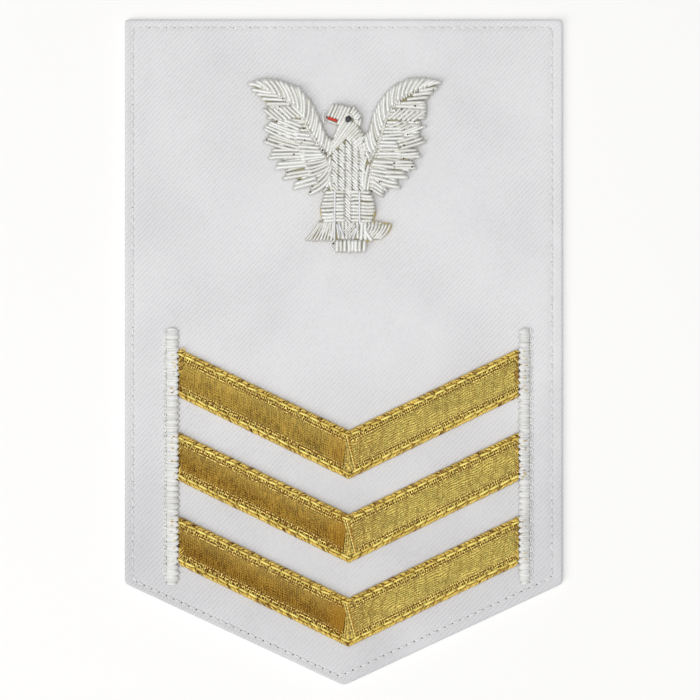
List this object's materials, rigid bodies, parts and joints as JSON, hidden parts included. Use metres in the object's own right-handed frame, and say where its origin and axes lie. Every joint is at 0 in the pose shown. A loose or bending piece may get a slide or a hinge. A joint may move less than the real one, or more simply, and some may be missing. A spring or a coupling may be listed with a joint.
{
  "type": "rank chevron patch",
  "caption": "Cloth rank badge with a pointed foot, a padded purl-wire eagle above gold lace chevrons, a sewn hem and stitched lace ends.",
  "frame": {"origin": "middle of the patch's outline, on the underside of the hem", "axes": "+Z out of the patch's face, +Y towards its straight top edge and away from the point, +X to the right of someone looking at the face"},
  "size_m": [0.1052, 0.16, 0.0045],
  "materials": {
    "ground_cloth": "white wool twill with a fine diagonal rib",
    "gold_lace": "metallic gold lace with cross ribs and stitched edges",
    "white_binding": "white satin stitch",
    "felt": "matt yellow felt",
    "silver_purl": "coiled silver wire, bright",
    "white_cord": "pale metallic cord",
    "red_purl": "red silk purl",
    "eye_bead": "black bead"
  },
  "bodies": {
    "root": {"ground_cloth": "ground_cloth", "lace_top": "gold_lace", "lace_middle": "gold_lace", "lace_bottom": "gold_lace", "end_binding_left": "white_binding", "end_binding_right": "white_binding", "felt_padding": "felt", "wing_left": "silver_purl", "wing_right": "silver_purl", "head": "silver_purl", "tongue": "red_purl", "eye": "eye_bead", "neck": "silver_purl", "breast": "silver_purl", "thighs": "silver_purl", "belly_rope": "silver_purl", "leg_cords": "white_cord", "tail_left": "silver_purl", "tail_right": "silver_purl", "tail_centre": "silver_purl", "claws": "silver_purl"}
  },
  "joints": []
}
